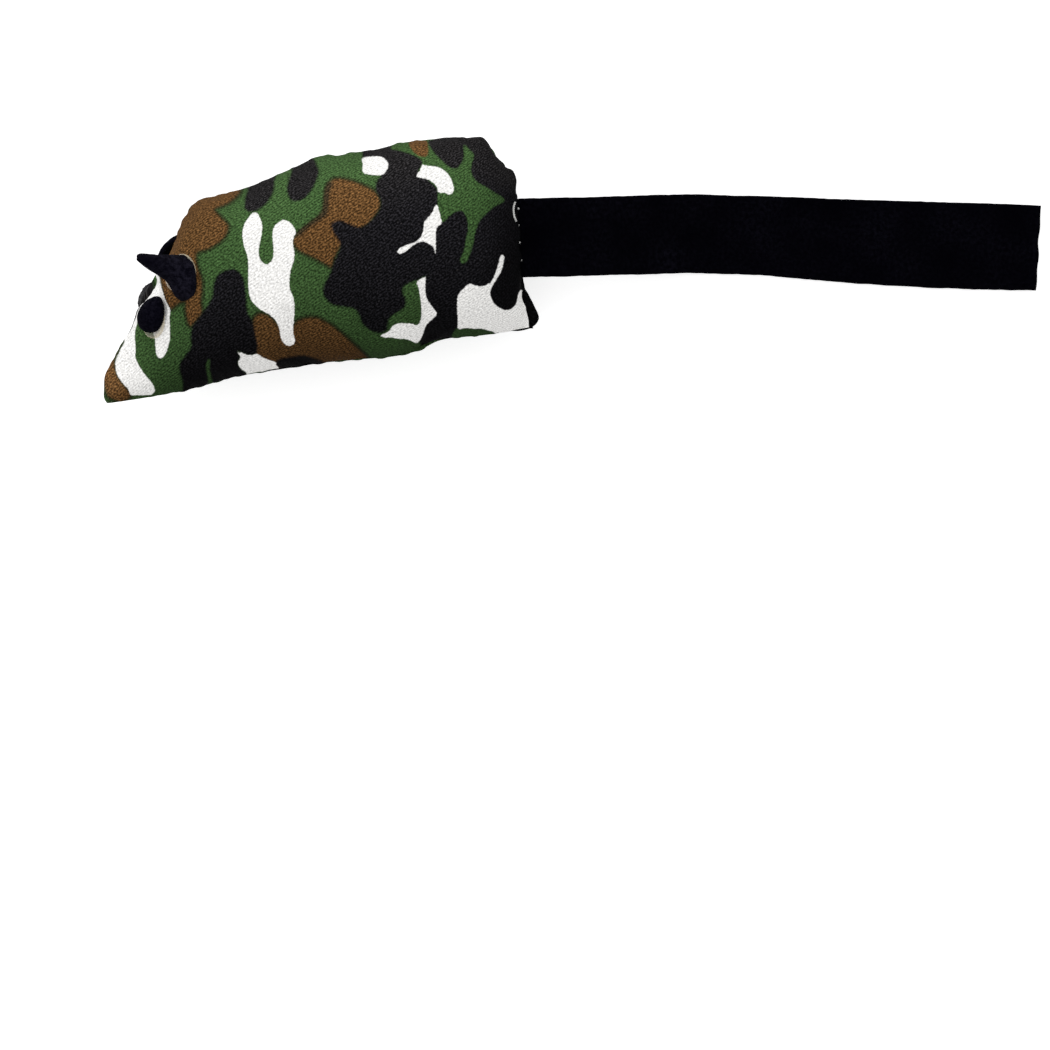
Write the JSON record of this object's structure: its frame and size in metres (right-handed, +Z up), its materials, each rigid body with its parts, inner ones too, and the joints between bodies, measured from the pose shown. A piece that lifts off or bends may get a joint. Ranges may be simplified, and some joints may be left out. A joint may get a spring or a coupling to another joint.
{
  "type": "mouse cat toy",
  "caption": "Stuffed cloth mouse for a cat to chase, lying on its side: a sewn wedge-shaped body, cupped felt ears, domed eyes and a flat felt strip for a tail.",
  "frame": {"origin": "the middle of the outline seen from above, on the surface that the toy lies on", "axes": "+X from the nose to the end of the tail, +Y from the belly to the back, +Z up from the surface, out of the left side"},
  "size_m": [0.2226, 0.0634, 0.0393],
  "materials": {
    "print_cloth": "cotton twill printed with a green, brown, black and white camouflage pattern",
    "filling_fibre": "loose white polyester fibre",
    "black_felt": "matt black felt",
    "black_flock": "short black flock on a domed base",
    "clear_glue": "milky clear hot-melt glue",
    "white_thread": "spun white sewing thread"
  },
  "bodies": {
    "mouse_body": {"left_side_panel": "print_cloth", "right_side_panel": "print_cloth", "stuffing": "filling_fibre", "tail_root": "black_felt", "left_eye": "black_flock", "right_eye": "black_flock", "left_ear_glue": "clear_glue", "right_ear_glue": "clear_glue", "left_eye_glue": "clear_glue", "right_eye_glue": "clear_glue", "closing_stitch": "white_thread", "tail_stitch_1": "white_thread", "tail_stitch_2": "white_thread", "tail_stitch_3": "white_thread", "tail_stitch_4": "white_thread"},
    "tail_strip": {"tail": "black_felt"},
    "left_ear_leaf": {"left_ear": "black_felt"},
    "right_ear_leaf": {"right_ear": "black_felt"}
  },
  "joints": [
    {"name": "tail_hinge", "type": "hinge", "parent": "mouse_body", "child": "tail_strip", "pos_m": [-0.00937, 0.00766, 0.0165], "axis": [0.0244, -0.9997, 0], "range_deg": [-95, 105]},
    {"name": "left_ear_hinge", "type": "hinge", "parent": "mouse_body", "child": "left_ear_leaf", "pos_m": [-0.08989, -0.00182, 0.03424], "axis": [-0.3246, -0.9374, 0.1261], "range_deg": [-50, 5], "stiffness_Nm_per_rad": 0.0005},
    {"name": "right_ear_hinge", "type": "hinge", "parent": "mouse_body", "child": "right_ear_leaf", "pos_m": [-0.09396, -0.00072, 0.00286], "axis": [0.7403, 0.4857, -0.4649], "range_deg": [-50, 8], "stiffness_Nm_per_rad": 0.0005}
  ]
}
